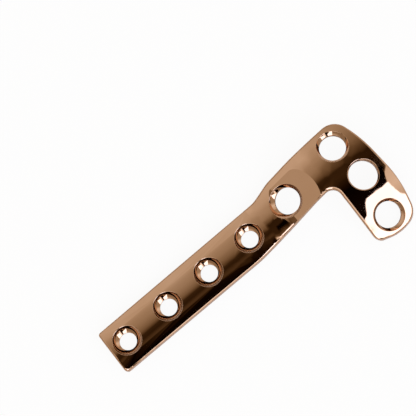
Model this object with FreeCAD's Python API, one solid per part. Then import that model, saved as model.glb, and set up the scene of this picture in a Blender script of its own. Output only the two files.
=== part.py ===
"""L-shaped buttress plate for the outer side of the upper shin bone, one solid of titanium.

The plate is a straight shaft, a neck that climbs to the head, and a head with a foot to one side.
Millimetres. The origin is the axis of the free end's hole at the underside, +X runs along the
shaft to the head, +Z points out of the outer face, and the foot of the L points to -Y.
"""
import FreeCAD, Part
import math
import os

from FreeCAD import Vector

# Section: the plate wraps the bone, so both faces are arcs about one axis along X
SHAFT_WIDTH = 14.8
SHAFT_THICKNESS = 2.5
HEAD_THICKNESS = 2.0
CROWN_RADIUS = 52.0          # outer face of the shaft, across the plate

# Shaft holes
SHAFT_HOLES = 4
HOLE_PITCH = 16.0
END_MARGIN = 6.1             # from the free end to the first hole
SHAFT_BORE_RADIUS = 2.7
SHAFT_SEAT_RADIUS = 5.2      # ball-cut seat
SHAFT_SEAT_RIM = 4.6         # radius where the seat meets the outer face

# Side profile of the outer face: flat shaft, hollow bend, ramp, crest bend, head arc
BEND_OFFSET = 4.5            # from the last shaft hole to the start of the hollow bend
HOLLOW_RADIUS = 26.0
RAMP_ANGLE = 16.0            # degrees
RAMP_LENGTH = 10.5
CREST_RADIUS = 20.0
HEAD_START_ANGLE = 4.0       # degrees of climb left where the head's long arc starts
HEAD_ARC_RADIUS = 60.0

# Flat ground on top of the ramp
FLAT_DEPTH = 0.45            # below the ramp's crest line
FLAT_INSET = 2.9             # from the ramp's start to the flat's start
FLAT_RUN_IN_RADIUS = 10.0
FLAT_RUN_IN_TURN = 60.0      # degrees of the run-in's arc

# Neck in plan: its near edge steps in from the shaft's edge, and its far edge steps out
SHAFT_FLARE = 0.3            # the far edge's swell along the shaft
NEAR_STEP_START = -1.0       # these four lie along X, from the last shaft hole
NEAR_STEP_END = 9.0
FAR_STEP_START = 8.0
FAR_STEP_END = 14.5
NEAR_STEP = 1.0
FAR_STEP = 1.9
STEP_BLEND_RADIUS = 12.0
EDGE_BLEND_RADIUS = 40.0
SHOULDER_BACK = 1.0          # the far edge's last bend, back from the foot's inner edge
SHOULDER_SHARE = 0.75        # and how much of the far corner's step it has made

# Head in plan
NECK_LENGTH = 29.7           # from the last shaft hole to the foot's inner edge
HEAD_LENGTH = 16.55          # along X, from the foot's inner edge to the top edge
INNER_CORNER_STEP = 2.25     # the inner corner stands in from the shaft's near edge
INNER_CORNER_RADIUS = 3.1
FAR_CORNER_STEP = 3.65       # the far corner stands out from the shaft's far edge
FAR_CORNER_BACK = 3.6        # and back from the top edge
FAR_CORNER_RADIUS = 5.5
FOOT_REACH = 28.1            # from the shaft's axis to the foot's tip
FOOT_FLARE = 0.9             # the foot's inner edge leans back by this
TIP_SLANT = 2.1              # the tip's inner corner stands in from the tip
TIP_INNER_RADIUS = 2.6
TIP_CREST = 6.3              # the tip's furthest point, from the foot's inner edge
TIP_RADIUS = 14.0
TIP_OUTER_SLANT = 1.6        # the tip's outer corner stands in from the tip
TIP_OUTER_BACK = 2.8         # and back from the top edge
TIP_OUTER_RADIUS = 5.5
TOP_BOW = 0.8                # how far the top edge's end towards the far corner falls back
TOP_BOW_START = 12.5         # from the foot's tip to the top edge's furthest point
TOP_BOW_END = 1.0            # from the shaft's axis to the top edge's last bend
TOP_BOW_RADIUS = 50.0

# Free end
END_SLANT = 0.5              # the near corner stands out from the far one
NEAR_END_RADIUS = 1.2
FAR_END_RADIUS = 1.0

# Holes of the neck and head
NECK_HOLE_OFFSET = 15.65     # from the last shaft hole
NECK_HOLE_SIDE = 1.0         # the hole's shift to the far side
HEAD_SEAT_RADIUS = 6.2       # ball-cut seat
HEAD_SEAT_RIM = 5.15         # radius where these seats meet the outer face
HEAD_BORE_RADIUS = 4.1
MIDDLE_SEAT_RIM = 5.0        # the head hole at the corner of the L has a wider bore in a smaller seat
MIDDLE_BORE_RADIUS = 4.55
HEAD_HOLES = (               # x from the foot's inner edge, y, bore radius, rim radius
    (7.2, 4.1, HEAD_BORE_RADIUS, HEAD_SEAT_RIM),
    (8.8, -8.55, MIDDLE_BORE_RADIUS, MIDDLE_SEAT_RIM),
    (7.0, -22.35, HEAD_BORE_RADIUS, HEAD_SEAT_RIM),
)

# Edges
OUTER_EDGE_ROUND = 0.7
UNDER_EDGE_CHAMFER = 0.3
RIM_ROUND = 0.12

LAST_HOLE_X = (SHAFT_HOLES - 1) * HOLE_PITCH
HALF_WIDTH = SHAFT_WIDTH / 2
CROWN_AXIS_Z = SHAFT_THICKNESS - CROWN_RADIUS
INNER_EDGE_X = LAST_HOLE_X + NECK_LENGTH
TOP_EDGE_X = INNER_EDGE_X + HEAD_LENGTH
ROUND_SHARE = 0.48           # the most of a side that the round at one of its ends may take
OVERRUN = 4.0                # how far blanks and cutters pass the finished shape
X_AXIS = Vector(1, 0, 0)


def polar(radius, degrees):
    """Vector in the XZ plane, with the angle measured from +Z towards +X."""
    turn = math.radians(degrees)
    return Vector(radius * math.sin(turn), 0, radius * math.cos(turn))


def profile_centres():
    """Centres of the hollow bend, the crest bend and the head arc, shared by both faces."""
    hollow = Vector(LAST_HOLE_X + BEND_OFFSET, 0, SHAFT_THICKNESS + HOLLOW_RADIUS)
    ramp_start = hollow - polar(HOLLOW_RADIUS, -RAMP_ANGLE)
    along = Vector(math.cos(math.radians(RAMP_ANGLE)), 0, math.sin(math.radians(RAMP_ANGLE)))
    ramp_end = ramp_start + along * RAMP_LENGTH
    crest = ramp_end - polar(CREST_RADIUS, -RAMP_ANGLE)
    head = crest + polar(CREST_RADIUS - HEAD_ARC_RADIUS, -HEAD_START_ANGLE)
    return hollow, crest, head


def ramp_angle(hollow_radius, crest_radius):
    """Slope of the line that touches the hollow circle from below and the crest circle from above."""
    hollow, crest, _ = profile_centres()
    across = crest - hollow
    bearing = math.atan2(across.z, across.x)
    return math.degrees(bearing + math.asin((hollow_radius + crest_radius) / across.Length))


def face_edges(shaft_depth, head_depth):
    """Edges of the side profile at these depths under the outer face, from the free end to the head."""
    hollow, crest, head = profile_centres()
    hollow_radius = HOLLOW_RADIUS + shaft_depth
    crest_radius = CREST_RADIUS - head_depth
    head_radius = HEAD_ARC_RADIUS - head_depth
    slope = ramp_angle(hollow_radius, crest_radius)
    start = Vector(-END_MARGIN - OVERRUN, 0, SHAFT_THICKNESS - shaft_depth)
    bend_start = hollow - Vector(0, 0, hollow_radius)
    bend_middle = hollow - polar(hollow_radius, -slope / 2)
    ramp_start = hollow - polar(hollow_radius, -slope)
    ramp_end = crest + polar(crest_radius, -slope)
    crest_middle = crest + polar(crest_radius, -(slope + HEAD_START_ANGLE) / 2)
    crest_end = crest + polar(crest_radius, -HEAD_START_ANGLE)
    head_end_angle = math.degrees(math.asin((TOP_EDGE_X + OVERRUN - head.x) / HEAD_ARC_RADIUS))
    head_middle = head + polar(head_radius, (head_end_angle - HEAD_START_ANGLE) / 2)
    head_end = head + polar(head_radius, head_end_angle)
    return [
        Part.LineSegment(start, bend_start).toShape(),
        Part.Arc(bend_start, bend_middle, ramp_start).toShape(),
        Part.LineSegment(ramp_start, ramp_end).toShape(),
        Part.Arc(ramp_end, crest_middle, crest_end).toShape(),
        Part.Arc(crest_end, head_middle, head_end).toShape(),
    ]


def crown_sweep(face, near_reach, far_reach):
    """Turns a face in the XZ plane about the crown's axis, over these reaches to -Y and +Y."""
    far_angle = math.degrees(math.asin(far_reach / CROWN_RADIUS))
    near_angle = math.degrees(math.asin(near_reach / CROWN_RADIUS))
    centre = Vector(0, 0, CROWN_AXIS_Z)
    turned = face.copy()
    turned.rotate(centre, X_AXIS, -far_angle)
    return turned.revolve(centre, X_AXIS, far_angle + near_angle)


def bent_blank():
    """Oversize plate: the side profile between the two faces, wrapped about the crown's axis."""
    outer = face_edges(0, 0)
    under = face_edges(SHAFT_THICKNESS, HEAD_THICKNESS)
    free_end = Part.LineSegment(outer[0].Vertexes[0].Point, under[0].Vertexes[0].Point).toShape()
    head_end = Part.LineSegment(outer[-1].Vertexes[-1].Point, under[-1].Vertexes[-1].Point).toShape()
    wire = Part.Wire(Part.__sortEdges__(outer + [head_end] + under + [free_end]))
    far_reach = HALF_WIDTH + FAR_CORNER_STEP + OVERRUN
    blank = crown_sweep(Part.Face(wire), FOOT_REACH + OVERRUN, far_reach)
    return blank.toNurbs()       # as free-form faces, the doubly curved head splits into far fewer facets


def rounded_outline(corners):
    """Closed wire through (x, y, radius) corners, each rounded by its radius as far as its sides allow."""
    points = [Vector(x, y, 0) for x, y, _ in corners]
    edges = []
    previous_end = None
    first_start = None
    for index, (_, _, wanted_radius) in enumerate(corners):
        here = points[index]
        back = points[index - 1] - here
        ahead = points[(index + 1) % len(points)] - here
        shorter_side = min(back.Length, ahead.Length)
        back.normalize()
        ahead.normalize()
        half = back.getAngle(ahead) / 2
        trim = min(wanted_radius / math.tan(half), ROUND_SHARE * shorter_side)
        radius = trim * math.tan(half)
        bisector = (back + ahead).normalize()
        middle = here + bisector * (radius / math.sin(half) - radius)
        start = here + back * trim
        end = here + ahead * trim
        if previous_end is not None:
            edges.append(Part.LineSegment(previous_end, start).toShape())
        edges.append(Part.Arc(start, middle, end).toShape())
        first_start = first_start or start
        previous_end = end
    edges.append(Part.LineSegment(previous_end, first_start).toShape())
    return Part.Wire(edges)


def plan_corners():
    """Corners of the plan outline, from the free end along the near side and back along the far side."""
    near = -HALF_WIDTH
    far = HALF_WIDTH
    return [
        (-END_MARGIN - END_SLANT / 2, near, NEAR_END_RADIUS),
        (LAST_HOLE_X + NEAR_STEP_START, near, EDGE_BLEND_RADIUS),
        (LAST_HOLE_X + NEAR_STEP_END, near + NEAR_STEP, EDGE_BLEND_RADIUS),
        (INNER_EDGE_X, near + INNER_CORNER_STEP, INNER_CORNER_RADIUS),
        (INNER_EDGE_X - FOOT_FLARE, TIP_SLANT - FOOT_REACH, TIP_INNER_RADIUS),
        (INNER_EDGE_X + TIP_CREST, -FOOT_REACH, TIP_RADIUS),
        (TOP_EDGE_X - TIP_OUTER_BACK, TIP_OUTER_SLANT - FOOT_REACH, TIP_OUTER_RADIUS),
        (TOP_EDGE_X, TOP_BOW_START - FOOT_REACH, TOP_BOW_RADIUS),
        (TOP_EDGE_X - TOP_BOW, TOP_BOW_END, TOP_BOW_RADIUS),
        (TOP_EDGE_X - FAR_CORNER_BACK, far + FAR_CORNER_STEP, FAR_CORNER_RADIUS),
        (INNER_EDGE_X - SHOULDER_BACK, far + SHOULDER_SHARE * FAR_CORNER_STEP, EDGE_BLEND_RADIUS),
        (LAST_HOLE_X + FAR_STEP_END, far + FAR_STEP, STEP_BLEND_RADIUS),
        (LAST_HOLE_X + FAR_STEP_START, far + SHAFT_FLARE, STEP_BLEND_RADIUS),
        (-END_MARGIN + END_SLANT / 2, far, FAR_END_RADIUS),
    ]


def trimmed_plate():
    """The blank cut to the plan outline."""
    outline = Part.Face(rounded_outline(plan_corners()))
    height = 2 * CROWN_RADIUS
    outline.translate(Vector(0, 0, -height / 2))
    return bent_blank().common(outline.extrude(Vector(0, 0, height)))


def crest_point(x):
    """Height and slope angle in degrees of the outer face over the shaft's axis at x."""
    hollow, crest, head = profile_centres()
    ramp_start = hollow - polar(HOLLOW_RADIUS, -RAMP_ANGLE)
    ramp_end = crest + polar(CREST_RADIUS, -RAMP_ANGLE)
    if x <= hollow.x:
        return SHAFT_THICKNESS, 0.0
    if x <= ramp_start.x:
        angle = math.degrees(math.asin((x - hollow.x) / HOLLOW_RADIUS))
        return hollow.z - polar(HOLLOW_RADIUS, angle).z, angle
    if x <= ramp_end.x:
        return ramp_start.z + (x - ramp_start.x) * math.tan(math.radians(RAMP_ANGLE)), RAMP_ANGLE
    crest_end = crest + polar(CREST_RADIUS, -HEAD_START_ANGLE)
    centre, radius = (crest, CREST_RADIUS) if x <= crest_end.x else (head, HEAD_ARC_RADIUS)
    angle = math.degrees(math.asin((centre.x - x) / radius))
    return centre.z + polar(radius, angle).z, angle


def outer_point(x, y):
    """Point of the outer face at x and y, and the face's outward normal there."""
    height, slope = crest_point(x)
    radius = height - CROWN_AXIS_Z
    roll = math.degrees(math.asin(y / radius))
    centre = Vector(0, 0, CROWN_AXIS_Z)
    point = Vector(x, y, CROWN_AXIS_Z + radius * math.cos(math.radians(roll)))
    normal = FreeCAD.Rotation(X_AXIS, -roll).multVec(polar(1, -slope))
    return point, normal


def is_wall(face):
    """True for the upright walls of the plan outline."""
    surface = face.Surface
    if isinstance(surface, Part.Plane):
        return abs(surface.Axis.z) < 1e-6
    return isinstance(surface, Part.Cylinder) and abs(surface.Axis.z) > 1 - 1e-6


def edge_middle(edge):
    """Point half way along an edge."""
    first, last = edge.ParameterRange
    return edge.valueAt((first + last) / 2)


def depth_below_outer(point):
    """How far a point lies under the outer face, measured towards the crown's axis."""
    from_axis = Vector(0, point.y, point.z - CROWN_AXIS_Z).Length
    return crest_point(point.x)[0] - CROWN_AXIS_Z - from_axis


def face_rim(plate, outer):
    """Edges where the walls meet the outer face, or the underside."""
    walls = [face for face in plate.Faces if is_wall(face)]
    skins = [face for face in plate.Faces if not is_wall(face)]
    rim = []
    for edge in plate.Edges:
        on_wall = any(edge.isSame(other) for face in walls for other in face.Edges)
        on_skin = any(edge.isSame(other) for face in skins for other in face.Edges)
        near_outer = depth_below_outer(edge_middle(edge)) < HEAD_THICKNESS / 2
        if on_wall and on_skin and near_outer == outer:
            rim.append(edge)
    return rim


def ramp_flat_cutter():
    """Block whose lower face is the flat on the ramp, with a round run-in at its lower end."""
    hollow, crest, _ = profile_centres()
    ramp_start = hollow - polar(HOLLOW_RADIUS, -RAMP_ANGLE)
    ramp_end = crest + polar(CREST_RADIUS, -RAMP_ANGLE)
    along = (ramp_end - ramp_start).normalize()
    up = polar(1, -RAMP_ANGLE)
    flat_start = ramp_start + along * FLAT_INSET - up * FLAT_DEPTH
    run_in = flat_start + up * FLAT_RUN_IN_RADIUS
    foot_angle = 180 - RAMP_ANGLE
    run_in_middle = run_in + polar(FLAT_RUN_IN_RADIUS, foot_angle + FLAT_RUN_IN_TURN / 2)
    run_in_top = run_in + polar(FLAT_RUN_IN_RADIUS, foot_angle + FLAT_RUN_IN_TURN)
    flat_end = ramp_end + along * HEAD_LENGTH - up * FLAT_DEPTH
    roof_end = flat_end + up * HEAD_LENGTH
    profile = Part.Wire([
        Part.Arc(run_in_top, run_in_middle, flat_start).toShape(),
        Part.LineSegment(flat_start, flat_end).toShape(),
        Part.LineSegment(flat_end, roof_end).toShape(),
        Part.LineSegment(roof_end, run_in_top).toShape(),
    ])
    face = Part.Face(profile)
    face.translate(Vector(0, -SHAFT_WIDTH, 0))
    return face.extrude(Vector(0, 2 * SHAFT_WIDTH, 0))


def hole_cutter(place, normal, bore_radius, seat_radius, rim_radius):
    """Ball-cut seat and straight bore, along the outward normal at a point of the outer face."""
    ball_centre = place + normal * math.sqrt(seat_radius ** 2 - rim_radius ** 2)
    ball = Part.makeSphere(seat_radius, ball_centre)
    bore_start = place - normal * (2 * SHAFT_THICKNESS)
    bore = Part.makeCylinder(bore_radius, 3 * SHAFT_THICKNESS, bore_start, normal)
    return ball.fuse(bore)


def neck_hole_place():
    """Centre and normal of the neck's hole, on the flat of the ramp."""
    point, _ = outer_point(LAST_HOLE_X + NECK_HOLE_OFFSET, 0)
    normal = polar(1, -RAMP_ANGLE)
    return point - normal * FLAT_DEPTH + Vector(0, NECK_HOLE_SIDE, 0), normal


def holes():
    """Name, centre, normal, bore radius, seat radius and rim radius of each hole."""
    rows = []
    for index in range(SHAFT_HOLES):
        place, normal = outer_point(index * HOLE_PITCH, 0)
        rows.append((f"shaft_hole_{index + 1}", place, normal,
                     SHAFT_BORE_RADIUS, SHAFT_SEAT_RADIUS, SHAFT_SEAT_RIM))
    place, normal = neck_hole_place()
    rows.append(("neck_hole", place, normal, HEAD_BORE_RADIUS, HEAD_SEAT_RADIUS, HEAD_SEAT_RIM))
    for index, (x, y, bore_radius, rim_radius) in enumerate(HEAD_HOLES):
        place, normal = outer_point(INNER_EDGE_X + x, y)
        rows.append((f"head_hole_{index + 1}", place, normal,
                     bore_radius, HEAD_SEAT_RADIUS, rim_radius))
    return rows


def seat_rims(plate):
    """Edges where the ball-cut seats meet the outer face."""
    rims = []
    for face in plate.Faces:
        if isinstance(face.Surface, Part.Sphere):
            rims += [edge for edge in face.Edges if not is_bore_edge(plate, edge)]
    return rims


def is_bore_edge(plate, edge):
    """True where an edge also borders a bore's wall, or is the ball's own seam."""
    sharing = [face for face in plate.Faces if any(edge.isSame(other) for other in face.Edges)]
    bores = [face for face in sharing if isinstance(face.Surface, Part.Cylinder)
             and face.Surface.Radius < SHAFT_WIDTH / 2]
    return bool(bores) or len(sharing) < 2


def plate_solid():
    """The finished plate."""
    plate = trimmed_plate()
    plate = plate.makeFillet(OUTER_EDGE_ROUND, face_rim(plate, True))
    plate = plate.makeChamfer(UNDER_EDGE_CHAMFER, face_rim(plate, False))
    plate = plate.cut(ramp_flat_cutter())
    for _, place, normal, bore_radius, seat_radius, rim_radius in holes():
        plate = plate.cut(hole_cutter(place, normal, bore_radius, seat_radius, rim_radius))
    return plate.makeFillet(RIM_ROUND, seat_rims(plate)).Solids[0]


shape = plate_solid()
os.makedirs("parts", exist_ok=True)
shape.exportStep("parts/l_buttress_plate.step")
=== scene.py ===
"""Looks of the bronze-coloured bone plate: polished anodised titanium in a pale studio.

Metres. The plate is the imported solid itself, which gets its finish here.
"""
import math

import bpy
from mathutils import Matrix, Vector


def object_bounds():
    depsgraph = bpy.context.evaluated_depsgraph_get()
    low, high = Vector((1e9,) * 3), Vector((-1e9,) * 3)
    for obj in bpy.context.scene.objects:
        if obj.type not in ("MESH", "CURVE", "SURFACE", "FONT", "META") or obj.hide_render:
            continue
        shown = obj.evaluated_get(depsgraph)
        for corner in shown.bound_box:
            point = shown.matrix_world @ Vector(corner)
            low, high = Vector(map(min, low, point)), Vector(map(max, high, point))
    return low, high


PLATE = "l_buttress_plate"

# Camera: where it stands over the shaft, and the point that it is lined up by
IMAGE_SIDE = 416             # pixels
SENSOR = 36.0                # millimetres
PIXELS_PER_METRE = 3310.0    # at the reference point
REFERENCE = Vector((0.024, 0.0, 0.0024))
REFERENCE_PIXEL = (188.05, 289.14)
CAMERA_DISTANCE = 0.7
CAMERA_SOUTH = 0.23          # share of that distance towards -Y
ROLL = math.radians(40.0)    # how far the shaft's direction stands up from the picture's right
CLIP_RANGE = (0.01, 20.0)

# Metal: colours of the oxide film, then the scales (per metre), depths (metres) and roughness of its
# finish. A detail is how many finer layers a noise has, and a range is the two noise values between
# which a pattern fades in.
DEEP_BRONZE = (0.515, 0.302, 0.173)
PALE_BRONZE = (0.545, 0.328, 0.197)
FILM_SCALE = 70.0
FILM_DETAIL = 2.0
FILM_RANGE = (0.3, 0.7)
POLISHED = 0.02
HAZE_SCALE = 260.0
HAZE_DETAIL = 4.0
HAZE_RANGE = (0.35, 0.75)
HAZE_ROUGHNESS = 0.025
STREAK_SCALE = 420.0
STREAK_DETAIL = 4.0
STREAK_RANGE = (0.62, 0.8)
STREAK_ROUGHNESS = 0.05
LINE_SCALE = 2400.0
LINE_DETAIL = 3.0
LINE_DEPTH = 4e-7
RIPPLE_SCALE = 130.0
RIPPLE_DETAIL = 1.0
RIPPLE_DEPTH = 1.3e-5
ALONG_SHAFT = (0.05, 1.0, 1.0)   # draws streaks and polishing lines out along the shaft
EVEN = (1.0, 1.0, 1.0)

# Floor
FLOOR_SIDE = 6.0
FLOOR_COLOUR = (0.8, 0.71, 0.58)     # warm, to answer the cool boxes
FLOOR_GLOW = 0.93                    # share of plain white in what the camera sees of it

# Studio, in degrees east (+X) and north (+Y) of straight up. Its tones, and the angles of its edges,
# follow readings of the photograph's reflections, adjusted against renders. From 10.1 to 25.6 degrees
# the shaft's stops are such readings, only rounded. First the tones of the ceiling and the back wall,
# from south to north, as the ramp, the shaft and the head see them.
RAMP_TONES = ((0.0, 1.4), (2.0, 0.22), (3.5, 0.06), (5.0, 0.055), (7.0, 0.055), (11.0, 0.045),
              (12.0, 0.09), (13.2, 0.25), (14.2, 0.34), (15.5, 0.48), (17.0, 0.58), (20.0, 0.69),
              (22.0, 0.74), (26.0, 0.9), (31.0, 0.98))
SHAFT_TONES = ((0.0, 0.003), (1.0, 0.02), (1.6, 0.048), (2.6, 0.052), (3.7, 0.12), (4.6, 0.105),
               (6.2, 0.05), (7.0, 0.048), (9.0, 0.065), (10.1, 0.18), (11.6, 0.31), (13.3, 0.41),
               (15.3, 0.494), (17.4, 0.575), (19.4, 0.62), (21.5, 0.68), (23.5, 0.8), (25.6, 0.89),
               (28.0, 1.0))
HEAD_TONES = ((-20.0, 0.008), (-6.0, 0.003), (0.0, 0.035), (4.0, 0.065), (8.0, 0.06), (11.0, 0.2),
              (14.0, 0.34), (17.0, 0.47), (20.0, 0.6), (26.0, 0.76), (32.0, 0.88))

# An edge is two angles: where a stretch isn't there yet, and where it is there in full
RAMP_EDGE = (-3.0, -9.0)
HEAD_EDGE = (0.0, 6.0)
EAST_FALLOFF = 0.3           # how much darker the ceiling is in the far east
EAST_FALLOFF_EDGE = (5.0, 34.0)
PALE_WEST_TONE = 0.76        # pale stretch that the ramp's ground flat looks at
PALE_WEST_EAST = (-25.0, -27.0)
PALE_WEST_NORTH = (8.0, 10.0)
CORE_TONE = 0.003            # black core over the ramp's south side
CORE_EAST = (-13.0, -15.5)
CORE_NORTH = ((3.4, 4.6), (8.3, 7.2))
TABLE_TONE = 1.4             # pale table in the south-west
TABLE_EAST = (-4.0, -6.5)
TABLE_NORTH = (2.0, 0.0)
WALL_TONE = 0.45             # far walls, down to the horizon
WALL_EDGE = (52.0, 70.0)     # from straight up
FRONT_TONE = 1.7             # pale front, low over the floor
FRONT_EAST = ((-4.5, -2.5), (9.0, 7.0))
FRONT_NORTH = (-44.0, -50.0)
GAP_TONE = 0.01              # dark gap beside it
GAP_EAST = ((-26.0, -24.0), (-2.5, -4.5))
GAP_NORTH = (-46.0, -52.0)

# Right wall, with a near edge that leans away to the east on both sides of a corner
RIGHT_WALL_TONES = ((-38.0, 0.6), (-34.0, 0.75), (-30.0, 0.9), (-24.0, 1.15), (-20.0, 1.27),
                    (-12.0, 1.15), (4.0, 0.95), (7.0, 0.6), (24.0, 0.66))
CORNER_EAST = 29.4
CORNER_NORTH = -16.5
NORTH_LEAN = 0.49            # degrees east for each degree away from the corner
SOUTH_LEAN = 0.3
EDGE_LIMIT = 33.8            # the edge goes no further east
RIGHT_WALL_EDGE = (-0.3, 0.5)    # degrees past the near edge

# Soft boxes in front
BOX_LIGHT = (3.2, 3.8, 5.4)  # cool, so that it stays white on the metal
RIGHT_BOX_WALL_EDGE = (0.6, -0.3)    # where the box ends, in degrees past the same edge
RIGHT_BOX_EAST = (5.0, 6.0)
RIGHT_BOX_NORTH = ((-75.0, -73.0), (-17.0, -17.6))
CUT_SLOPE = 1.357            # of the right box's cut corner
CUT_EDGE = (34.4, 35.8)
LEFT_BOX_WEST_SLOPE = 0.84   # its sides run towards straight up, as upright sides do
LEFT_BOX_EAST_SLOPE = 0.23
LEFT_BOX_SIDE_EDGE = (0.0, 1.0)
LEFT_BOX_NORTH = ((-66.0, -65.0), (-18.0, -19.0))

# Green and blue that go with a tone: about neutral at 1, warmer below and cooler above
GREEN_POWER = 1.19
GREEN_SHARE = 0.99
BLUE_POWER = 1.5

BACKDROP = (0.8, 0.8, 0.8)   # what the camera sees past the floor
SMALLEST_LEVEL = 1e-4        # keeps the angles finite straight up


def add_node(tree, kind, **values):
    """A shader node with these properties."""
    node = tree.nodes.new(kind)
    for name, value in values.items():
        setattr(node, name, value)
    return node


def math_node(tree, operation, *inputs):
    """A Math node fed by numbers or sockets; returns its result."""
    node = add_node(tree, "ShaderNodeMath", operation=operation)
    for socket, value in zip(node.inputs, inputs):
        if isinstance(value, (int, float)):
            socket.default_value = value
        else:
            tree.links.new(value, socket)
    return node.outputs[0]


def product(tree, first, *others):
    """Sockets multiplied together."""
    for other in others:
        first = math_node(tree, "MULTIPLY", first, other)
    return first


def step(tree, value, edge):
    """A share that goes smoothly from 0 at the edge's first value to 1 at its second."""
    start, end = edge
    node = add_node(tree, "ShaderNodeMapRange", interpolation_type="SMOOTHSTEP")
    tree.links.new(value, node.inputs["Value"])
    node.inputs["From Min"].default_value = min(start, end)
    node.inputs["From Max"].default_value = max(start, end)
    node.inputs["To Min"].default_value = 0.0 if start < end else 1.0
    node.inputs["To Max"].default_value = 1.0 if start < end else 0.0
    return node.outputs["Result"]


def between(tree, value, edges):
    """A share that is 1 between two edges."""
    return product(tree, *(step(tree, value, edge) for edge in edges))


def mix_value(tree, share, below, above):
    """A number or socket mixed over another by a share."""
    node = add_node(tree, "ShaderNodeMix", data_type="FLOAT")
    tree.links.new(share, node.inputs["Factor"])
    for socket, value in ((node.inputs[2], below), (node.inputs[3], above)):
        if isinstance(value, (int, float)):
            socket.default_value = value
        else:
            tree.links.new(value, socket)
    return node.outputs[0]


def mix_colour(tree, share, below, above):
    """A colour or socket mixed over another by a share."""
    node = add_node(tree, "ShaderNodeMix", data_type="RGBA")
    tree.links.new(share, node.inputs["Factor"])
    for socket, value in ((node.inputs[6], below), (node.inputs[7], above)):
        if isinstance(value, tuple):
            socket.default_value = (*value, 1.0)
        else:
            tree.links.new(value, socket)
    return node.outputs[2]


def mix_shader(tree, share, below, above):
    """One shader's output mixed over another's by a share."""
    node = add_node(tree, "ShaderNodeMixShader")
    for socket, value in zip(node.inputs, (share, below, above)):
        tree.links.new(value, socket)
    return node.outputs[0]


def tone_ramp(tree, angle, stops):
    """Tone by angle, through (degrees, tone) stops."""
    node = add_node(tree, "ShaderNodeValToRGB")
    elements = node.color_ramp.elements
    low, high = stops[0][0], stops[-1][0]
    for degrees, _ in stops[1:-1]:
        elements.new((degrees - low) / (high - low))
    for element, (_, tone) in zip(elements, stops):
        element.color = (tone, tone, tone, 1.0)
    share = math_node(tree, "DIVIDE", math_node(tree, "SUBTRACT", angle, low), high - low)
    tree.links.new(share, node.inputs["Fac"])
    return node.outputs["Color"]


def noise(tree, place, scale, detail, stretch=EVEN):
    """Cloudy noise between 0 and 1 at these points, drawn out where a stretch is under 1."""
    mapping = add_node(tree, "ShaderNodeMapping")
    mapping.inputs["Scale"].default_value = stretch
    tree.links.new(place, mapping.inputs["Vector"])
    node = add_node(tree, "ShaderNodeTexNoise")
    node.inputs["Scale"].default_value = scale
    node.inputs["Detail"].default_value = detail
    tree.links.new(mapping.outputs[0], node.inputs["Vector"])
    return node.outputs["Fac"]


def bumped(tree, height, distance, normal=None):
    """Normal over this height, on top of another normal if there is one."""
    node = add_node(tree, "ShaderNodeBump")
    node.inputs["Distance"].default_value = distance
    tree.links.new(height, node.inputs["Height"])
    if normal is not None:
        tree.links.new(normal, node.inputs["Normal"])
    return node.outputs["Normal"]


def new_material(name):
    """An empty node material and its tree."""
    material = bpy.data.materials.new(name)
    material.use_nodes = True
    material.node_tree.nodes.clear()
    return material, material.node_tree


def bronze_roughness(tree, place):
    """Polished, with patches of haze and a few duller streaks along the shaft."""
    haze = step(tree, noise(tree, place, HAZE_SCALE, HAZE_DETAIL), HAZE_RANGE)
    streaks = noise(tree, place, STREAK_SCALE, STREAK_DETAIL, ALONG_SHAFT)
    streaks = step(tree, streaks, STREAK_RANGE)
    hazy = math_node(tree, "ADD", POLISHED, math_node(tree, "MULTIPLY", haze, HAZE_ROUGHNESS))
    return math_node(tree, "ADD", hazy, math_node(tree, "MULTIPLY", streaks, STREAK_ROUGHNESS))


def bronze_normal(tree, place):
    """A slight ripple from hand polishing, and fine polishing lines on it."""
    ripple = bumped(tree, noise(tree, place, RIPPLE_SCALE, RIPPLE_DETAIL), RIPPLE_DEPTH)
    lines = noise(tree, place, LINE_SCALE, LINE_DETAIL, ALONG_SHAFT)
    return bumped(tree, lines, LINE_DEPTH, ripple)


def bronze_material():
    """Mirror-polished titanium under an uneven bronze oxide film."""
    material, tree = new_material("bronze_anodised")
    place = add_node(tree, "ShaderNodeTexCoord").outputs["Object"]
    shader = add_node(tree, "ShaderNodeBsdfPrincipled")
    shader.inputs["Metallic"].default_value = 1.0
    film = step(tree, noise(tree, place, FILM_SCALE, FILM_DETAIL), FILM_RANGE)
    tree.links.new(mix_colour(tree, film, DEEP_BRONZE, PALE_BRONZE), shader.inputs["Base Color"])
    tree.links.new(bronze_roughness(tree, place), shader.inputs["Roughness"])
    tree.links.new(bronze_normal(tree, place), shader.inputs["Normal"])
    output = add_node(tree, "ShaderNodeOutputMaterial")
    tree.links.new(shader.outputs[0], output.inputs["Surface"])
    return material


def finish_plate(plate):
    """The plate's own finish, on its object's material slots."""
    for index in range(len(plate.data.materials)):
        plate.data.materials[index] = None
    for slot in plate.material_slots:
        slot.link = "OBJECT"
        slot.material = bronze_material()


def floor_material():
    """Pale matt floor that shows white to the camera and keeps a soft shadow."""
    material, tree = new_material("pale_floor")
    matt = add_node(tree, "ShaderNodeBsdfDiffuse")
    matt.inputs["Color"].default_value = (*FLOOR_COLOUR, 1.0)
    glow = add_node(tree, "ShaderNodeEmission")
    glow.inputs["Strength"].default_value = 1.0
    seen = add_node(tree, "ShaderNodeLightPath").outputs["Is Camera Ray"]
    share = math_node(tree, "MULTIPLY", seen, FLOOR_GLOW)
    output = add_node(tree, "ShaderNodeOutputMaterial")
    mixed = mix_shader(tree, share, matt.outputs[0], glow.outputs[0])
    tree.links.new(mixed, output.inputs["Surface"])
    return material


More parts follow.
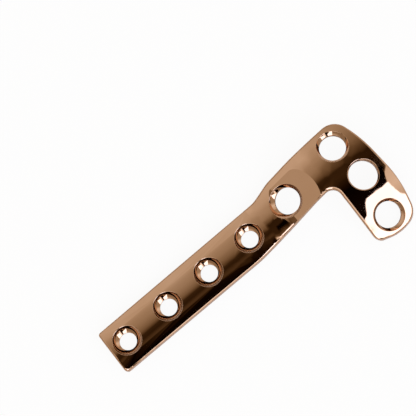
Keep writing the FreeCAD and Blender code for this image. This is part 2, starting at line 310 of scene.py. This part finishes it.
def make_floor(height):
    """The floor under the plate's lowest point."""
    half = FLOOR_SIDE / 2
    corners = [(-half, -half, 0), (half, -half, 0), (half, half, 0), (-half, half, 0)]
    mesh = bpy.data.meshes.new("floor")
    mesh.from_pydata(corners, [], [(0, 1, 2, 3)])
    floor = bpy.data.objects.new("floor", mesh)
    floor.location.z = height
    floor.data.materials.append(floor_material())
    bpy.context.collection.objects.link(floor)


def make_camera():
    """A long lens over the plate, turned so that the shaft climbs to the right as in the photograph."""
    back = Vector((0.0, -CAMERA_SOUTH, math.sqrt(1 - CAMERA_SOUTH ** 2))).normalized()
    along = Vector((1, 0, 0))
    along = (along - back * along.dot(back)).normalized()
    across = back.cross(along)
    right = along * math.cos(ROLL) - across * math.sin(ROLL)
    up = along * math.sin(ROLL) + across * math.cos(ROLL)
    focal = PIXELS_PER_METRE * CAMERA_DISTANCE
    half = IMAGE_SIDE / 2
    aim = -back * focal + right * (half - REFERENCE_PIXEL[0]) + up * (REFERENCE_PIXEL[1] - half)
    aim.normalize()
    right = (right - aim * right.dot(aim)).normalized()
    up = right.cross(aim)
    turn = Matrix((right, up, -aim)).transposed()
    camera = bpy.data.objects.new("camera", bpy.data.cameras.new("camera"))
    bpy.context.collection.objects.link(camera)
    camera.matrix_world = Matrix.Translation(REFERENCE + back * CAMERA_DISTANCE) @ turn.to_4x4()
    camera.data.sensor_width = SENSOR
    camera.data.lens = focal / IMAGE_SIDE * SENSOR
    camera.data.clip_start, camera.data.clip_end = CLIP_RANGE
    bpy.context.scene.camera = camera


def directions(tree):
    """Degrees east and north of straight up of where a ray goes, and its angle from straight up."""
    place = add_node(tree, "ShaderNodeTexCoord").outputs["Generated"]
    split = add_node(tree, "ShaderNodeSeparateXYZ")
    tree.links.new(place, split.inputs[0])
    x, y, z = split.outputs
    squares = math_node(tree, "ADD", product(tree, x, x), product(tree, y, y))
    level = math_node(tree, "MAXIMUM", math_node(tree, "SQRT", squares), SMALLEST_LEVEL)
    from_top = math_node(tree, "DEGREES", math_node(tree, "ARCCOSINE", z))
    spread = math_node(tree, "DIVIDE", from_top, level)
    return product(tree, x, spread), product(tree, y, spread), from_top


def ceiling_tone(tree, east, north):
    """The ceiling and back wall, as the ramp, the shaft and the head see them."""
    ramp, shaft, head = (tone_ramp(tree, north, tones) for tones in (RAMP_TONES, SHAFT_TONES, HEAD_TONES))
    tone = mix_value(tree, step(tree, east, RAMP_EDGE), shaft, ramp)
    tone = mix_value(tree, step(tree, east, HEAD_EDGE), tone, head)
    falloff = math_node(tree, "MULTIPLY", step(tree, east, EAST_FALLOFF_EDGE), EAST_FALLOFF)
    tone = product(tree, tone, math_node(tree, "SUBTRACT", 1.0, falloff))
    pale_west = product(tree, step(tree, east, PALE_WEST_EAST), step(tree, north, PALE_WEST_NORTH))
    tone = math_node(tree, "MAXIMUM", tone, math_node(tree, "MULTIPLY", pale_west, PALE_WEST_TONE))
    core = product(tree, step(tree, east, CORE_EAST), between(tree, north, CORE_NORTH))
    return mix_value(tree, core, tone, CORE_TONE)


def low_tone(tree, tone, east, north, from_top):
    """The ceiling's tone with the table, the far walls, the front and the dark gap over it."""
    table = product(tree, step(tree, east, TABLE_EAST), step(tree, north, TABLE_NORTH))
    tone = mix_value(tree, table, tone, TABLE_TONE)
    tone = mix_value(tree, step(tree, from_top, WALL_EDGE), tone, WALL_TONE)
    front = product(tree, between(tree, east, FRONT_EAST), step(tree, north, FRONT_NORTH))
    tone = mix_value(tree, front, tone, FRONT_TONE)
    gap = product(tree, between(tree, east, GAP_EAST), step(tree, north, GAP_NORTH))
    return mix_value(tree, gap, tone, GAP_TONE)


def past_right_edge(tree, east, north):
    """Degrees east of the right wall's near edge."""
    from_corner = math_node(tree, "SUBTRACT", north, CORNER_NORTH)
    lean = math_node(tree, "MAXIMUM", math_node(tree, "MULTIPLY", from_corner, NORTH_LEAN),
                     math_node(tree, "MULTIPLY", from_corner, -SOUTH_LEAN))
    edge = math_node(tree, "MINIMUM", math_node(tree, "ADD", lean, CORNER_EAST), EDGE_LIMIT)
    return math_node(tree, "SUBTRACT", east, edge)


def graded(tree, tone):
    """Colour of a tone: about neutral at 1, warmer below and cooler above."""
    green = math_node(tree, "MULTIPLY", math_node(tree, "POWER", tone, GREEN_POWER), GREEN_SHARE)
    blue = math_node(tree, "POWER", tone, BLUE_POWER)
    node = add_node(tree, "ShaderNodeCombineColor")
    for socket, value in zip(node.inputs, (tone, green, blue)):
        tree.links.new(value, socket)
    return node.outputs[0]


def right_box(tree, east, north, past_edge):
    """Soft box that ends at the right wall's edge and has a cut corner."""
    slant = math_node(tree, "SUBTRACT", math_node(tree, "MULTIPLY", east, CUT_SLOPE), north)
    return product(tree, step(tree, slant, CUT_EDGE), step(tree, past_edge, RIGHT_BOX_WALL_EDGE),
                   step(tree, east, RIGHT_BOX_EAST), between(tree, north, RIGHT_BOX_NORTH))


def left_box(tree, east, north):
    """Soft box between two sides that run towards straight up."""
    west_side = math_node(tree, "MULTIPLY", north, LEFT_BOX_WEST_SLOPE)
    east_side = math_node(tree, "MULTIPLY", north, LEFT_BOX_EAST_SLOPE)
    past_west = math_node(tree, "SUBTRACT", east, west_side)
    short_of_east = math_node(tree, "SUBTRACT", east_side, east)
    return product(tree, step(tree, past_west, LEFT_BOX_SIDE_EDGE),
                   step(tree, short_of_east, LEFT_BOX_SIDE_EDGE), between(tree, north, LEFT_BOX_NORTH))


def studio_colour(tree):
    """What the studio shows in each direction."""
    east, north, from_top = directions(tree)
    tone = low_tone(tree, ceiling_tone(tree, east, north), east, north, from_top)
    past_edge = past_right_edge(tree, east, north)
    right_wall = tone_ramp(tree, north, RIGHT_WALL_TONES)
    tone = mix_value(tree, step(tree, past_edge, RIGHT_WALL_EDGE), tone, right_wall)
    colour = graded(tree, tone)
    for box in (right_box(tree, east, north, past_edge), left_box(tree, east, north)):
        colour = mix_colour(tree, box, colour, BOX_LIGHT)
    return colour


def world_light():
    """Studio round the plate, with a plain pale backdrop for the camera."""
    world = bpy.data.worlds.new("studio")
    world.use_nodes = True
    bpy.context.scene.world = world
    tree = world.node_tree
    tree.nodes.clear()
    studio = add_node(tree, "ShaderNodeBackground")
    tree.links.new(studio_colour(tree), studio.inputs["Color"])
    backdrop = add_node(tree, "ShaderNodeBackground")
    backdrop.inputs["Color"].default_value = (*BACKDROP, 1.0)
    seen = add_node(tree, "ShaderNodeLightPath").outputs["Is Camera Ray"]
    output = add_node(tree, "ShaderNodeOutputWorld")
    mixed = mix_shader(tree, seen, studio.outputs[0], backdrop.outputs[0])
    tree.links.new(mixed, output.inputs["Surface"])


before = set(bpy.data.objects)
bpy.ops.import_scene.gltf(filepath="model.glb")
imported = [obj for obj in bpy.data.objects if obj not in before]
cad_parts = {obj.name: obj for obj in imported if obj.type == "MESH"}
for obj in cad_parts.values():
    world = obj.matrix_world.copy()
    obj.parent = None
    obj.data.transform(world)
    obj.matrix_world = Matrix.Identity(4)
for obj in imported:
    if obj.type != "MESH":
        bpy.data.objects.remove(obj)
cad_box = [list(corner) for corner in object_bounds()]
bpy.context.scene.view_settings.view_transform = "Standard"
finish_plate(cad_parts[PLATE])
make_floor(cad_box[0][2])
world_light()
make_camera()
